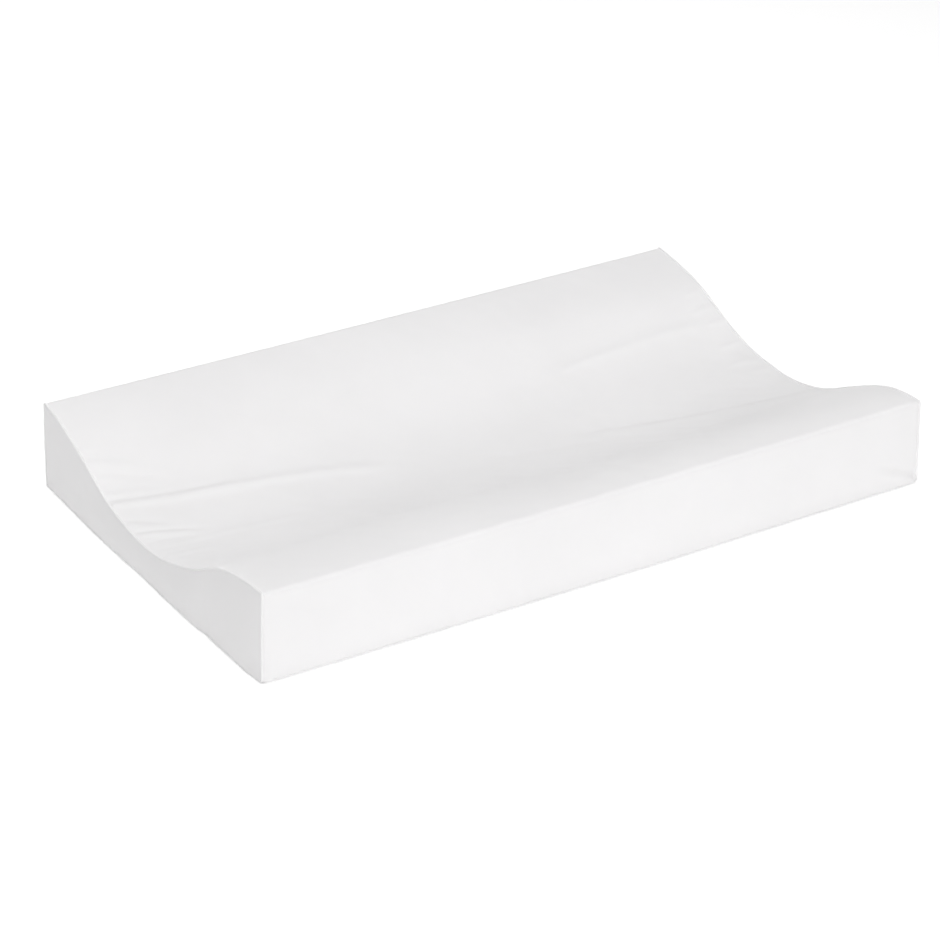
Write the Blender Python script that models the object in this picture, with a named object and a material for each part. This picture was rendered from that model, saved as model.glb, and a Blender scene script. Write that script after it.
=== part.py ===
"""Changing pad: one contour-cut foam block in a sewn cover that opens with a zip.

Frame: metres, +Z up. +X runs along the pad's length, the front wall faces -Y and the
rear wall with the zip faces +Y. The origin is the centre of the footprint, on the
surface that the pad lies on.
"""
import math

import bmesh
import bpy
from mathutils import Vector

# Driving dimensions of the pad
LENGTH = 0.720
WIDTH = 0.440
HEIGHT = 0.0905             # to the top of the piping on the two rims
VALLEY_THICKNESS = 0.030    # at the lowest line of the trough
FRONT_CREST_PHASE = 1.0     # 1 makes the rim level at its outer edge
REAR_CREST_PHASE = 0.86     # below 1 the rim is still rising at its outer edge
FOLD_RADIUS = 0.005         # soft fold between the top and the front and rear walls
BASE_FOLD_RADIUS = 0.003    # fold where the base panel turns up the rear wall
CONTOUR_STEPS = 48
ARC_STEPS = 5

# Cloth, piping and the space between neighbours
FABRIC = 0.0008
GAP = 0.0003
WELT_RADIUS = 0.0015
FOAM_CHAMFER = 0.0025

# Zip in the rear wall
ZIP_HEIGHT = 0.024          # centre line above the base
ZIP_WINDOW = 0.010          # between the two cloth edges
ZIP_TAPE_THICKNESS = 0.0006
ZIP_TAPE_REACH = 0.014      # centre line to the tape's outer edge
ZIP_TAPE_SPLIT = 0.0012     # between the two tapes
COIL_SPLIT = 0.0010         # between the two rows of teeth
COIL_WIDTH = 0.0025
COIL_DEPTH = 0.0016
RELIEF_HEIGHT = 0.034       # hollow that the zip presses into the foam
RELIEF_DEPTH = 0.0050
STITCH_RADIUS = 0.00025
STITCH_INSET = 0.002        # from the cloth edge to the row of stitches

# Zip slider and its pull
SLIDER_LENGTH = 0.011
SLIDER_WALL = 0.0010
SLIDER_PARK = 0.325         # x of the slider when the zip is closed
WEB_THICKNESS = 0.0004
BRIDGE_SPAN = 0.008
BRIDGE_WIDTH = 0.0016
BRIDGE_ROOM = 0.0022        # under the bridge, for the pull's bar
PULL_AXIS_RISE = 0.0010     # bar's centre above the slider's face
PULL_LENGTH = 0.026
PULL_THICKNESS = 0.0012
PULL_NECK_WIDTH = 0.0054
PULL_TAB_WIDTH = 0.0075
PULL_WINDOW_LENGTH = 0.0064
PULL_WINDOW_WIDTH = 0.0030
PULL_EDGE_BEVEL = 0.0002

# Planes that several pieces share
WALL_X = LENGTH / 2 - WELT_RADIUS
WALL_Y = WIDTH / 2 - WELT_RADIUS
RIM_HEIGHT = HEIGHT - WELT_RADIUS
SEAM_INSET = WELT_RADIUS + GAP
CLOTH_END_X = WALL_X - SEAM_INSET
BASE_WELT_HEIGHT = WELT_RADIUS + GAP
WALL_BOTTOM = BASE_WELT_HEIGHT + SEAM_INSET
FOAM_INSET = FABRIC + GAP
TAPE_OUTER_Y = WALL_Y - FABRIC - GAP
TAPE_INNER_Y = TAPE_OUTER_Y - ZIP_TAPE_THICKNESS
COIL_INNER_Y = TAPE_OUTER_Y + GAP
COIL_OUTER_Y = COIL_INNER_Y + COIL_DEPTH
SLIDER_FACE_Y = COIL_OUTER_Y + GAP + SLIDER_WALL

COLORS = {
    "coated_fabric": ((0.86, 0.86, 0.87), 0.55, 0.0),
    "piping_fabric": ((0.88, 0.88, 0.88), 0.50, 0.0),
    "base_fabric": ((0.80, 0.80, 0.81), 0.60, 0.0),
    "foam": ((0.90, 0.86, 0.70), 0.90, 0.0),
    "zip_tape": ((0.84, 0.84, 0.84), 0.80, 0.0),
    "zip_coil": ((0.88, 0.88, 0.88), 0.35, 0.0),
    "zip_metal": ((0.75, 0.75, 0.76), 0.30, 1.0),
    "thread": ((0.90, 0.90, 0.90), 0.60, 0.0),
}


def clear_scene():
    for obj in list(bpy.data.objects):
        bpy.data.objects.remove(obj, do_unlink=True)


def material(name, slot):
    """A Principled material for one sub-part, in the finish of its material slot."""
    color, roughness, metallic = COLORS[slot]
    mat = bpy.data.materials.new(name)
    mat.use_nodes = True
    shader = mat.node_tree.nodes["Principled BSDF"]
    shader.inputs["Base Color"].default_value = (*color, 1.0)
    shader.inputs["Roughness"].default_value = roughness
    shader.inputs["Metallic"].default_value = metallic
    return mat


def add_object(name, data, slot, location=(0.0, 0.0, 0.0), parent=None):
    obj = bpy.data.objects.new(name, data)
    bpy.context.collection.objects.link(obj)
    data.materials.append(material(name, slot))
    obj.location = location
    obj.parent = parent
    return obj


def finish_mesh(name, bm):
    bmesh.ops.recalc_face_normals(bm, faces=bm.faces)
    mesh = bpy.data.meshes.new(name)
    bm.to_mesh(mesh)
    bm.free()
    return mesh


# ---------------------------------------------------------------- outlines, as (y, z)

def top_height(y):
    """Height of the upper surface: a trough that rises in a soft wave to each rim."""
    phase = FRONT_CREST_PHASE if y < 0 else REAR_CREST_PHASE
    quarter = math.pi / 2 * phase
    rise = math.sin(quarter * abs(y) / WALL_Y) / math.sin(quarter)
    return VALLEY_THICKNESS + (RIM_HEIGHT - VALLEY_THICKNESS) * rise ** 2


def fillet(before, corner, after, radius):
    """Points of an arc that rounds the corner between two straight runs."""
    corner = Vector(corner)
    to_before = (Vector(before) - corner).normalized()
    to_after = (Vector(after) - corner).normalized()
    half_angle = to_before.angle(to_after) / 2
    centre = corner + (to_before + to_after).normalized() * radius / math.sin(half_angle)
    first = corner + to_before * radius / math.tan(half_angle) - centre
    last = corner + to_after * radius / math.tan(half_angle) - centre
    turn = first.angle_signed(last)
    points = []
    for i in range(ARC_STEPS + 1):
        angle = -turn * i / ARC_STEPS
        points.append((
            centre.x + first.x * math.cos(angle) - first.y * math.sin(angle),
            centre.y + first.x * math.sin(angle) + first.y * math.cos(angle),
        ))
    return points


def contour():
    """Upper surface between the two folds, from the front rim to the rear rim."""
    reach = WALL_Y - 2 * FOLD_RADIUS
    ys = [-reach + 2 * reach * i / CONTOUR_STEPS for i in range(CONTOUR_STEPS + 1)]
    return [(y, top_height(y)) for y in ys]


def pad_outline(bottom):
    """Front wall, front fold, trough, rear fold and rear wall, as the cloth lies."""
    crown = contour()
    front = (-WALL_Y, top_height(-WALL_Y))
    rear = (WALL_Y, top_height(WALL_Y))
    front_fold = fillet((-WALL_Y, bottom), front, crown[0], FOLD_RADIUS)
    rear_fold = fillet(crown[-1], rear, (WALL_Y, bottom), FOLD_RADIUS)
    return [(-WALL_Y, bottom)] + front_fold + crown + rear_fold + [(WALL_Y, bottom)]


def offset(path, distance):
    """The same open path, moved to its right-hand side by a distance."""
    moved = []
    for i, point in enumerate(path):
        normals = []
        for a, b in ((i - 1, i), (i, i + 1)):
            if a >= 0 and b < len(path):
                run = Vector(path[b]) - Vector(path[a])
                normals.append(Vector((run.y, -run.x)).normalized())
        middle = sum(normals, Vector((0.0, 0.0))).normalized()
        step = distance / middle.dot(normals[0])
        moved.append((point[0] + middle.x * step, point[1] + middle.y * step))
    return moved


# ---------------------------------------------------------------- solids from outlines

def sheet_along_x(name, path, thickness, half_length, slot):
    """Cloth that follows a (y, z) path, with its thickness on the inner side."""
    inner = offset(path, thickness)
    bm = bmesh.new()
    rows = {}
    for side in (-1, 1):
        rows[side, "outer"] = [bm.verts.new((side * half_length, y, z)) for y, z in path]
        rows[side, "inner"] = [bm.verts.new((side * half_length, y, z)) for y, z in inner]
    loops = [rows[-1, "outer"], rows[1, "outer"], rows[1, "inner"], rows[-1, "inner"]]
    for i in range(len(path) - 1):
        for here, there in zip(loops, loops[1:] + loops[:1]):
            bm.faces.new((here[i], there[i], there[i + 1], here[i + 1]))
    for i in (0, len(path) - 1):
        bm.faces.new([row[i] for row in loops])
    return add_object(name, finish_mesh(name, bm), slot)


def prism(name, outline, across, start, stop):
    """A mesh whose flat outline is pushed from start to stop along the axis across."""
    bm = bmesh.new()
    verts = []
    for a, b in outline:
        place = {"x": (start, a, b), "y": (a, start, b), "z": (a, b, start)}[across]
        verts.append(bm.verts.new(place))
    face = bm.faces.new(verts)
    pushed = bmesh.ops.extrude_face_region(bm, geom=[face])["geom"]
    travel = stop - start
    step = {"x": (travel, 0, 0), "y": (0, travel, 0), "z": (0, 0, travel)}[across]
    moved = [item for item in pushed if isinstance(item, bmesh.types.BMVert)]
    bmesh.ops.translate(bm, verts=moved, vec=step)
    return finish_mesh(name, bm)


def box(name, low, high):
    outline = [(low[1], low[2]), (high[1], low[2]), (high[1], high[2]), (low[1], high[2])]
    return prism(name, outline, "x", low[0], high[0])


def tube(name, points, radius, slot):
    """A round strand through the points, with flat ends."""
    curve = bpy.data.curves.new(name, "CURVE")
    curve.dimensions = "3D"
    curve.bevel_depth = radius
    curve.bevel_resolution = 2
    curve.use_fill_caps = True
    spline = curve.splines.new("POLY")
    spline.points.add(len(points) - 1)
    for point, place in zip(spline.points, points):
        point.co = (*place, 1.0)
    return add_object(name, curve, slot)


def add_bevel(obj, width, segments=1, angle=50):
    bevel = obj.modifiers.new("edges", "BEVEL")
    bevel.width = width
    bevel.segments = segments
    bevel.limit_method = "ANGLE"
    bevel.angle_limit = math.radians(angle)


def add_boolean(obj, other, operation):
    """Cut or join with a guide mesh, which is not a part itself."""
    other.hide_render = True
    other.display_type = "WIRE"
    boolean = obj.modifiers.new(operation.lower(), "BOOLEAN")
    boolean.operation = operation
    boolean.solver = "EXACT"
    boolean.object = other


# ---------------------------------------------------------------- filling

def foam_core():
    """The block that gives the pad its shape, with a hollow behind the zip."""
    shell = offset(pad_outline(WALL_BOTTOM), FOAM_INSET)
    bottom = FABRIC + GAP
    rear_y = shell[-1][0]
    outline = [(shell[0][0], bottom)] + shell[1:-1]
    for side in (1, -1):
        edge = ZIP_HEIGHT + side * RELIEF_HEIGHT / 2
        corners = [(rear_y, edge), (rear_y - RELIEF_DEPTH, edge)]
        outline += corners if side > 0 else corners[::-1]
    outline.append((rear_y, bottom))
    half = WALL_X - FOAM_INSET
    obj = add_object("foam_core", prism("foam_core", outline, "x", -half, half), "foam")
    add_bevel(obj, FOAM_CHAMFER)


# ---------------------------------------------------------------- cover

def cover_wrap():
    """One sheet: front wall, over the trough, and down the rear wall to the zip."""
    path = pad_outline(WALL_BOTTOM)
    path[-1] = (WALL_Y, ZIP_HEIGHT + ZIP_WINDOW / 2)
    sheet_along_x("cover_wrap", path, FABRIC, CLOTH_END_X, "coated_fabric")


def cover_base():
    """The underside, turned up the rear wall to the lower edge of the zip."""
    front = (-(WALL_Y - SEAM_INSET), 0.0)
    corner = (WALL_Y, 0.0)
    rear = (WALL_Y, ZIP_HEIGHT - ZIP_WINDOW / 2)
    arc = fillet(rear, corner, front, BASE_FOLD_RADIUS)
    sheet_along_x("cover_base", [rear] + arc + [front], FABRIC, CLOTH_END_X, "base_fabric")


def cover_ends():
    """The two end panels, cut to the pad's side view."""
    outline = offset(pad_outline(WALL_BOTTOM), SEAM_INSET)
    for side, label in ((-1, "left"), (1, "right")):
        name = f"cover_end_{label}"
        faces = side * (WALL_X - FABRIC), side * WALL_X
        add_object(name, prism(name, outline, "x", *faces), "coated_fabric")


def welts():
    """Narrow piping: around each end panel, and along the foot of the front and ends."""
    for side, label in ((-1, "left"), (1, "right")):
        points = [(side * WALL_X, y, z) for y, z in pad_outline(WALL_BOTTOM)]
        tube(f"welt_{label}", points, WELT_RADIUS, "piping_fabric")
    rear_y = WALL_Y
    foot = [
        (-WALL_X, rear_y, BASE_WELT_HEIGHT),
        (-WALL_X, -WALL_Y, BASE_WELT_HEIGHT),
        (WALL_X, -WALL_Y, BASE_WELT_HEIGHT),
        (WALL_X, rear_y, BASE_WELT_HEIGHT),
    ]
    tube("welt_base", foot, WELT_RADIUS, "piping_fabric")


# ---------------------------------------------------------------- zip

def zip_rows():
    """Tape, teeth and the stitches that hold the tape, above and below the centre line."""
    for side, label in ((1, "upper"), (-1, "lower")):
        low, high = sorted(
            ZIP_HEIGHT + side * reach for reach in (ZIP_TAPE_SPLIT / 2, ZIP_TAPE_REACH)
        )
        name = f"zip_tape_{label}"
        tape = box(
            name, (-CLOTH_END_X, TAPE_INNER_Y, low), (CLOTH_END_X, TAPE_OUTER_Y, high)
        )
        add_object(name, tape, "zip_tape")

        middle = ZIP_HEIGHT + side * (COIL_SPLIT / 2 + COIL_WIDTH / 2)
        name = f"zip_coil_{label}"
        coil = prism(name, coil_section(middle), "x", -CLOTH_END_X, CLOTH_END_X)
        add_object(name, coil, "zip_coil")

        stitch_z = ZIP_HEIGHT + side * (ZIP_WINDOW / 2 + STITCH_INSET)
        stitch_y = WALL_Y + GAP + STITCH_RADIUS
        ends = [(x, stitch_y, stitch_z) for x in (-CLOTH_END_X, CLOTH_END_X)]
        tube(f"zip_stitch_{label}", ends, STITCH_RADIUS, "thread")


def coil_section(middle):
    """An oval, flattened where the row of teeth lies on its tape."""
    sides = 12
    depth_centre = (COIL_INNER_Y + COIL_OUTER_Y) / 2
    points = []
    for i in range(sides):
        angle = 2 * math.pi * (i + 0.5) / sides
        points.append((
            depth_centre + COIL_DEPTH / 2 * math.cos(angle),
            middle + COIL_WIDTH / 2 * math.sin(angle),
        ))
    return points


def slider_section():
    """The slider seen along the zip: a hooded outer plate, a web and an inner plate."""
    hood = COIL_SPLIT / 2 + COIL_WIDTH + GAP
    side = hood + SLIDER_WALL
    web = WEB_THICKNESS / 2
    flange_y = TAPE_OUTER_Y + GAP - SLIDER_FACE_Y
    under_hood = -SLIDER_WALL
    inner_top = TAPE_INNER_Y - GAP - SLIDER_FACE_Y
    inner_bottom = inner_top - SLIDER_WALL
    half = [
        (0.0, side), (flange_y, side), (flange_y, hood), (under_hood, hood),
        (under_hood, web), (inner_top, web), (inner_top, side), (inner_bottom, side),
    ]
    return half + [(y, -z) for y, z in reversed(half)]


def zip_slider():
    origin = (SLIDER_PARK, SLIDER_FACE_Y, ZIP_HEIGHT)
    half = SLIDER_LENGTH / 2
    mesh = prism("zip_slider", slider_section(), "x", -half, half)
    slider = add_object("zip_slider", mesh, "zip_metal", origin)
    foot = -SLIDER_WALL / 2
    outer = BRIDGE_SPAN / 2
    inner = outer - SLIDER_WALL
    top = BRIDGE_ROOM + SLIDER_WALL
    arch = [
        (-outer, foot), (-outer, top - SLIDER_WALL), (-inner, top), (inner, top),
        (outer, top - SLIDER_WALL), (outer, foot), (inner, foot),
        (inner, BRIDGE_ROOM), (-inner, BRIDGE_ROOM), (-inner, foot),
    ]
    bridge_mesh = prism("bridge_guide", arch, "z", -BRIDGE_WIDTH / 2, BRIDGE_WIDTH / 2)
    bridge = add_object("bridge_guide", bridge_mesh, "zip_metal", parent=slider)
    add_boolean(slider, bridge, "UNION")
    return slider


def pull_outline():
    """A tab with a round tip, narrower where it holds the slider's bridge."""
    bar = PULL_THICKNESS / 2
    neck_end = -(bar + PULL_WINDOW_LENGTH + bar)
    tip = bar - PULL_LENGTH
    radius = PULL_TAB_WIDTH / 2
    steps = 12
    points = [(bar, -PULL_NECK_WIDTH / 2), (bar, PULL_NECK_WIDTH / 2)]
    points.append((neck_end, PULL_NECK_WIDTH / 2))
    for i in range(steps + 1):
        angle = math.pi / 2 + math.pi * i / steps
        points.append((tip + radius + radius * math.cos(angle), radius * math.sin(angle)))
    points.append((neck_end, -PULL_NECK_WIDTH / 2))
    return points


def zip_pull(slider):
    """The pull, lying along the closed zip; its origin is the bar under the bridge."""
    half = PULL_THICKNESS / 2
    place = (0.0, PULL_AXIS_RISE, 0.0)
    mesh = prism("zip_pull", pull_outline(), "y", -half, half)
    pull = add_object("zip_pull", mesh, "zip_metal", place, slider)
    far = -half - PULL_WINDOW_LENGTH
    edge = PULL_WINDOW_WIDTH / 2
    window_mesh = box("window_guide", (far, -2 * half, -edge), (-half, 2 * half, edge))
    window = add_object("window_guide", window_mesh, "zip_metal", parent=pull)
    add_boolean(pull, window, "DIFFERENCE")
    add_bevel(pull, PULL_EDGE_BEVEL)


def build():
    clear_scene()
    foam_core()
    cover_wrap()
    cover_base()
    cover_ends()
    welts()
    zip_rows()
    zip_pull(zip_slider())


build()
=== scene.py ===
"""Looks of the changing pad: soft cover panels, piping, zip, cloth materials, studio."""
import math

import bmesh
import bpy
import numpy as np
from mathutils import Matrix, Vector


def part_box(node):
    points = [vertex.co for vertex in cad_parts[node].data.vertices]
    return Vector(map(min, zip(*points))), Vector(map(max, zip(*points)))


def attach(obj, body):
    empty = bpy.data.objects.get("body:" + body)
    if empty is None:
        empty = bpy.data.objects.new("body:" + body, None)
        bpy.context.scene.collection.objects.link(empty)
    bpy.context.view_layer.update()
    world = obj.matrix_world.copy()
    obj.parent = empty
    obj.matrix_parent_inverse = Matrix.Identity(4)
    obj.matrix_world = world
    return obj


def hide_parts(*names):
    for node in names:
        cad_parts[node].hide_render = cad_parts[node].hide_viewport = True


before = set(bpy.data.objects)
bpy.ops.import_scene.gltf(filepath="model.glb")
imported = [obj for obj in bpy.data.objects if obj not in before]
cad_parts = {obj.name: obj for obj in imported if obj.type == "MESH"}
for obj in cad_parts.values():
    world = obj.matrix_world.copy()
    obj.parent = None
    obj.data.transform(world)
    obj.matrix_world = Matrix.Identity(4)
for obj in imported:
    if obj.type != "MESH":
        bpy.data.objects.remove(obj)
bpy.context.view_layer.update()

# ------------ sizes from the frame

END_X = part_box("cover_end_right")[1].x           # outer face of an end panel
WALL_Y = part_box("cover_wrap")[1].y               # outer face of the front and rear walls
WELT_LOW, WELT_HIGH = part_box("welt_left")
WELT_RADIUS = (WELT_HIGH.x - WELT_LOW.x) / 2
WELT_SHOWN = 0.9 * WELT_RADIUS                   # the covered cord, pressed a little in
WELT_SINK = {-1: 0.0010, 1: 0.0009}              # its depth in the left and right seams
RIM = WELT_HIGH.z - WELT_RADIUS                  # cloth's height at the two rims
FOOT_WELT_Z = sum(corner.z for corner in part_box("welt_base")) / 2
FABRIC = END_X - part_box("cover_end_right")[0].x  # the cloth's thickness
STRIP_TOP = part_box("cover_base")[1].z            # cloth edge below the zip
ZIP_Z = (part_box("zip_tape_lower")[0].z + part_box("zip_tape_upper")[1].z) / 2
HEM_BOTTOM = 2 * ZIP_Z - STRIP_TOP               # cloth edge above the zip
STITCH_Z = sum(corner.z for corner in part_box("zip_stitch_upper")) / 2
STITCH_IN = STITCH_Z - HEM_BOTTOM                # from that edge to its stitches
VALLEY = max(
    v.co.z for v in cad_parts["cover_wrap"].data.vertices if abs(v.co.y) < 0.008
)

# The cut foam's trough: the share of a quarter wave up to each rim, where 1 ends level
FRONT_CREST_PHASE = 1.0
REAR_CREST_PHASE = 0.86

# Where the cover's crown differs from the trough at its left and right ends: the y and
# width of each soft swell, and its height (a hollow's is negative)
LEFT_SWELLS = (
    (-0.135, 0.042, 0.0040),
    (-0.105, 0.100, 0.0015),
    (-0.048, 0.035, 0.0012),
    (-0.115, 0.026, 0.0010),
    (0.085, 0.034, -0.0030),
    (0.165, 0.040, 0.0012),
)
RIGHT_SWELLS = (
    (0.146, 0.044, 0.0056),
    (0.018, 0.025, 0.0012),
    (-0.074, 0.032, -0.0024),
    (-0.172, 0.036, 0.0024),
)

# Softness of the cover
FOLD_RADIUS = 0.0024
FOLD_RADIUS_AT_SEAM = 0.0017
END_OUT = 0.0012            # how far the cover stands past the cut foam at its ends
WALL_OUT = 0.0018           # and at the rims of its walls
LEFT_UNDERCUT = 0.0008      # how far the left end turns back in at its foot
LEFT_FOOT_OUT = 0.0064      # how far the foot of the left end stands out
RIGHT_FOOT_OUT = 0.0018     # and that of the right end at its two corners
LEFT_FOOT_SWELLS = (
    (-0.020, 0.100, 0.0007),
    (0.005, 0.035, -0.0012),
)
LEFT_FOOT_DRAWN_IN = (      # how much less it stands out, and the y where that starts and stops
    (0.0028, 0.090, WALL_Y),
    (0.0013, -0.090, -0.150),
    (0.0018, -0.190, -WALL_Y),
)
BASE_FOLD_RADIUS = 0.003
TUCK = 0.0008               # how far a cloth edge runs in under the piping
FOOT_EDGE = FOOT_WELT_Z + 0.0003    # lower edge of the wall and end panels
FOLD_DIP = 0.7              # a fold dips into a seam by this share of what a wall does
FOOT_SINK = 0.0009          # how far the cord at the foot is drawn in under them
GRID = 0.004                # mesh spacing along the pad
GRID_ACROSS = 0.0026        # and across it, where the creases are narrow
NEAR_SEAM = (0.0, 0.0006, 0.0013, 0.0021, 0.0031, 0.0044, 0.0061, 0.0083, 0.0112, 0.0150)


# ------------ the cover's shape

def smooth(low, high, value):
    """0 below low, 1 above high, and a soft step between them."""
    t = np.clip((value - low) / (high - low), 0.0, 1.0)
    return t * t * (3 - 2 * t)


def bell(value, centre, width):
    return np.exp(-((value - centre) / width) ** 2)


def swells(table, y):
    """Height at y of all the swells in a table."""
    return sum(height * bell(y, centre, width) for centre, width, height in table)


def trough(y):
    """Height of the cut foam's upper side at y."""
    phase = np.where(y < 0, FRONT_CREST_PHASE, REAR_CREST_PHASE)
    quarter = math.pi / 2 * phase
    rise = np.sin(quarter * np.abs(y) / WALL_Y) / np.sin(quarter)
    return VALLEY + (RIM - VALLEY) * rise ** 2


def crown(x, y):
    """Height of the top panel before its creases: the trough, uneven from end to end."""
    right = smooth(-END_X, END_X, x)
    ends = swells(LEFT_SWELLS, y) * (1 - right) ** 2 + swells(RIGHT_SWELLS, y) * right ** 2
    sag = 0.0006 * (1 - (x / END_X) ** 2) * bell(np.abs(y), WALL_Y, 0.05)
    sag = sag + 0.0009 * (1 - (x / END_X) ** 8) * bell(y, -WALL_Y, 0.02)
    hollow = 0.0022 * (1 - np.clip(x / END_X, 0.0, 1.0) ** 12) * bell(y, -0.104, 0.029)
    rear_lift = 0.0006 * bell(y, WALL_Y, 0.03)
    return trough(y) + ends - sag - hollow + rear_lift


def end_bow(side, y, z):
    """How far an end panel stands out past its straight line: most near its foot."""
    height = crown(side * END_X, y)
    up = np.clip(z / height, 0.0, 1.0)
    along = np.clip(1 - (y / WALL_Y) ** 2, 0.0, 1.0)
    stays = 0.42 * smooth(-0.07, 0.05, y)
    left_foot = LEFT_FOOT_OUT + LEFT_UNDERCUT * along + swells(LEFT_FOOT_SWELLS, y)
    for depth, start, stop in LEFT_FOOT_DRAWN_IN:
        left_foot = left_foot - depth * smooth(start, stop, y)
    left_foot = left_foot - 0.0014 * bell(y, -0.120, 0.011) * (1 - up)
    foot = np.where(side < 0, left_foot, RIGHT_FOOT_OUT + 0.0050 * along ** 0.8)
    belly = 0.0010 * np.sin(math.pi * up ** 0.62) * along ** 0.3
    belly = belly * np.clip(height / 0.055, 0.5, 1.2)
    rim = 0.0045 * stays * along ** 0.8
    undercut = np.where(side < 0, LEFT_UNDERCUT * along, 0.0) * bell(z, FOOT_WELT_Z, 0.012)
    return END_OUT + foot * (1 - up ** 1.5) + rim * up + belly - undercut


def front_bow(x, z):
    """How far the front wall stands out: a flared foot, a soft belly and a full rim."""
    up = np.clip(z / RIM, 0.0, 1.0)
    along = np.clip(1 - (x / END_X) ** 2, 0.0, 1.0)
    belly = 0.0012 * np.sin(math.pi * up) * along ** 0.3
    waver = 0.0003 * np.sin(19 * x + 0.6) * along
    return (0.0026 + 0.0026 * along) * (1 - up) + WALL_OUT * up + belly + waver * (1 - up)


def rear_bow(x, z):
    """The rear wall is flat at the zip, and full above it."""
    above = np.clip((z - 0.040) / (RIM - 0.040), 0.0, 1.0)
    along = np.clip(1 - (x / END_X) ** 2, 0.0, 1.0)
    belly = 0.0012 * np.sin(math.pi * above) * along ** 0.3
    return belly + WALL_OUT * smooth(0.030, 0.065, z)


def fold_radius(x):
    from_end = END_X - np.abs(x)
    return FOLD_RADIUS_AT_SEAM + (FOLD_RADIUS - FOLD_RADIUS_AT_SEAM) * smooth(0.0, 0.03, from_end)


def bezier(points, t):
    a, b, c, d = points
    s = 1 - t
    return a * s ** 3 + 3 * b * s ** 2 * t + 3 * c * s * t ** 2 + d * t ** 3


def fold(x, t, side):
    """(y, z) of the soft fold between a wall and the top: side -1 front, 1 rear."""
    radius = fold_radius(x)
    round_share = 0.5523
    edge_y = side * WALL_Y
    inner_y = side * (WALL_Y - radius)
    inner_z = crown(x, inner_y)
    slope = (crown(x, inner_y) - crown(x, inner_y - side * 0.001)) / 0.001
    edge_z = inner_z + slope * radius * 0.6
    reach = round_share * radius
    ys = (edge_y, edge_y, inner_y + side * reach, inner_y)
    zs = (edge_z - radius, edge_z - radius + reach, inner_z + slope * reach * 0.6, inner_z)
    return bezier(ys, t), bezier(zs, t)


def spread_out(x, y, z):
    """x on the long panels, which follow the end panels' bow near the ends."""
    side = np.where(x < 0, -1.0, 1.0)
    return x + side * end_bow(side, y, z) * (np.abs(x) / END_X) ** 6


# ------------ creases and seams

SEAM_X = 0.3575             # where the top's creases run out at its end seams

# Each crease: start and end, how far it bends sideways, half width, height, and which
# shape it has: "ridge" stands up, "valley" sinks in, "step" rises towards the front.
TOP_CREASES = (
    ((-SEAM_X, 0.0780), (-0.2300, 0.0580), -0.002, 0.0060, 0.0019, "ridge"),
    ((-0.2700, 0.0640), (-0.0800, 0.0260), 0.005, 0.0068, 0.0015, "ridge"),
    ((-SEAM_X, 0.0925), (-0.3050, 0.0800), 0.001, 0.0032, 0.0007, "ridge"),
    ((-SEAM_X, 0.0860), (-0.2300, 0.0700), -0.002, 0.0036, 0.0006, "valley"),
    ((-SEAM_X, 0.1300), (-0.3050, 0.1060), 0.002, 0.0048, 0.0012, "ridge"),
    ((-SEAM_X, 0.1190), (-0.2950, 0.0960), 0.002, 0.0040, 0.0010, "valley"),
    ((-SEAM_X, 0.1480), (-0.3350, 0.1420), 0.000, 0.0030, 0.0006, "ridge"),
    ((-SEAM_X, 0.0560), (-0.3150, 0.0280), 0.002, 0.0055, 0.0007, "valley"),
    ((-SEAM_X, 0.0480), (-0.3200, 0.0240), 0.002, 0.0044, 0.0006, "ridge"),
    ((-SEAM_X, 0.0345), (-0.2950, 0.0100), 0.003, 0.0036, 0.0011, "valley"),
    ((-SEAM_X, 0.0270), (-0.3000, 0.0040), 0.003, 0.0036, 0.0010, "ridge"),
    ((-SEAM_X, 0.0140), (-0.3100, 0.0040), 0.001, 0.0034, 0.0006, "valley"),
    ((-0.3500, -0.0020), (-0.1800, -0.0200), 0.002, 0.0052, 0.0006, "ridge"),
    ((-SEAM_X, -0.0250), (-0.3000, -0.0380), 0.002, 0.0050, 0.0005, "ridge"),
    ((-0.3450, -0.1080), (0.0600, -0.1120), -0.004, 0.0050, 0.0006, "step"),
    ((0.0000, -0.1120), (0.3500, -0.0860), -0.003, 0.0050, 0.0007, "step"),
    ((0.1300, -0.0180), (0.3570, -0.0670), -0.004, 0.0062, 0.0011, "step"),
    ((0.0300, -0.0160), (0.1600, -0.0560), 0.004, 0.0095, 0.0005, "valley"),
    ((0.1500, 0.0900), (0.3480, 0.1000), 0.003, 0.0064, 0.0013, "ridge"),
    ((0.3280, 0.1130), (SEAM_X, 0.1165), 0.001, 0.0040, 0.0012, "ridge"),
    ((0.3360, 0.1360), (SEAM_X, 0.1400), 0.000, 0.0036, 0.0008, "ridge"),
    ((0.3350, 0.0960), (SEAM_X, 0.0975), 0.000, 0.0034, 0.0009, "ridge"),
    ((0.3200, 0.0345), (SEAM_X, 0.0325), 0.001, 0.0050, 0.0006, "ridge"),
    ((0.3300, 0.0640), (SEAM_X, 0.0660), 0.000, 0.0040, 0.0008, "ridge"),
    ((0.3350, 0.0140), (SEAM_X, 0.0110), 0.000, 0.0036, 0.0005, "ridge"),
)
FRONT_CREASES = (      # as (x, z) on the front wall
    ((-0.3570, 0.0850), (-0.2800, 0.0480), 0.003, 0.0060, 0.0005, "valley"),
    ((0.3130, 0.0310), (0.3570, 0.0100), 0.001, 0.0034, 0.0011, "valley"),
    ((0.3180, 0.0210), (0.3570, 0.0035), 0.001, 0.0042, 0.0010, "ridge"),
    ((0.3530, 0.0110), (0.3560, 0.0030), 0.000, 0.0016, 0.0009, "valley"),
    ((-0.3505, 0.0020), (-0.3520, 0.0300), 0.000, 0.0024, 0.0009, "ridge"),
    ((-0.3475, 0.0020), (-0.3480, 0.0120), 0.000, 0.0018, 0.0007, "valley"),
)
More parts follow.
